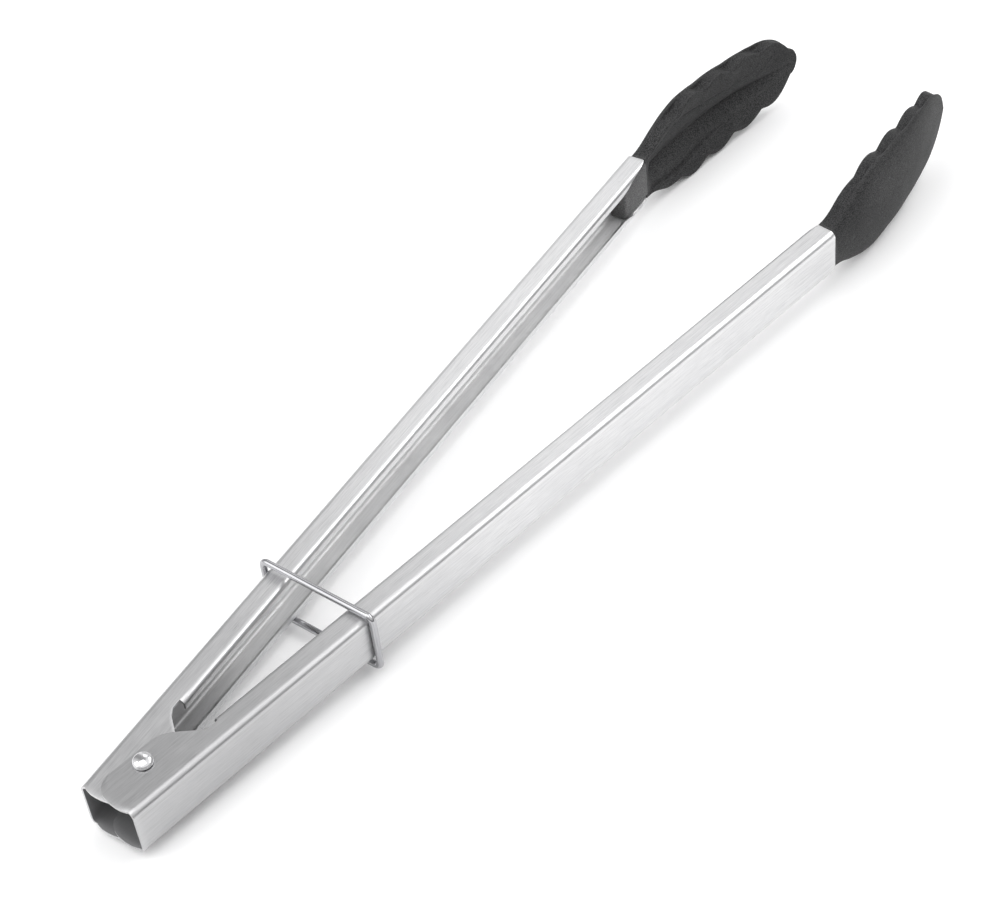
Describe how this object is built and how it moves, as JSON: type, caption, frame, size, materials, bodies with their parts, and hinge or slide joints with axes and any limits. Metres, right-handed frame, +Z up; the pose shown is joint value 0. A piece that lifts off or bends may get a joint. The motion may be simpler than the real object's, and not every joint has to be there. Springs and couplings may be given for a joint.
{
  "type": "spring loaded kitchen tongs",
  "caption": "Long spring loaded kitchen tongs with folded steel channel arms, scalloped silicone scoop heads and a sliding wire lock ring.",
  "frame": {"origin": "on the surface the tongs lie on, under the middle of their bounding box", "axes": "+X along the tongs from the rivet to the heads, +Z up from the surface, +Y to the left arm"},
  "size_m": [0.4126, 0.091, 0.0368],
  "materials": {
    "brushed_steel": "brushed along the arm, satin",
    "polished_steel": "polished",
    "spring_steel": "drawn wire",
    "core_steel": "plain rolled",
    "silicone": "matte moulded silicone"
  },
  "bodies": {
    "pivot": {"pivot_rivet": "polished_steel", "pivot_bush": "core_steel", "torsion_spring": "spring_steel"},
    "left_side": {"left_arm": "brushed_steel", "left_head": "silicone", "left_head_core": "core_steel"},
    "right_side": {"right_arm": "brushed_steel", "right_head": "silicone", "right_head_core": "core_steel"},
    "ring": {"lock_ring": "polished_steel"}
  },
  "joints": [
    {"name": "left_hinge", "type": "hinge", "parent": "pivot", "child": "left_side", "pos_m": [-0.18977, 0, 0.01268], "axis": [0.0171, 0, -0.9999], "range_deg": [0, 4.1], "stiffness_Nm_per_rad": 0.6, "springref_deg": -20.05, "deforming": ["torsion_spring"]},
    {"name": "right_hinge", "type": "hinge", "parent": "pivot", "child": "right_side", "pos_m": [-0.18977, 0, 0.01268], "axis": [-0.0171, 0, 0.9999], "range_deg": [0, 4.1], "stiffness_Nm_per_rad": 0.6, "springref_deg": -20.05, "deforming": ["torsion_spring"]},
    {"name": "ring_slide", "type": "slide", "parent": "pivot", "child": "ring", "axis": [0.9999, 0, 0.0171], "range_m": [-0.0732, 0]}
  ],
  "couplings": [
    {"joint": "right_hinge", "follows": "left_hinge", "ratio": 1}
  ]
}
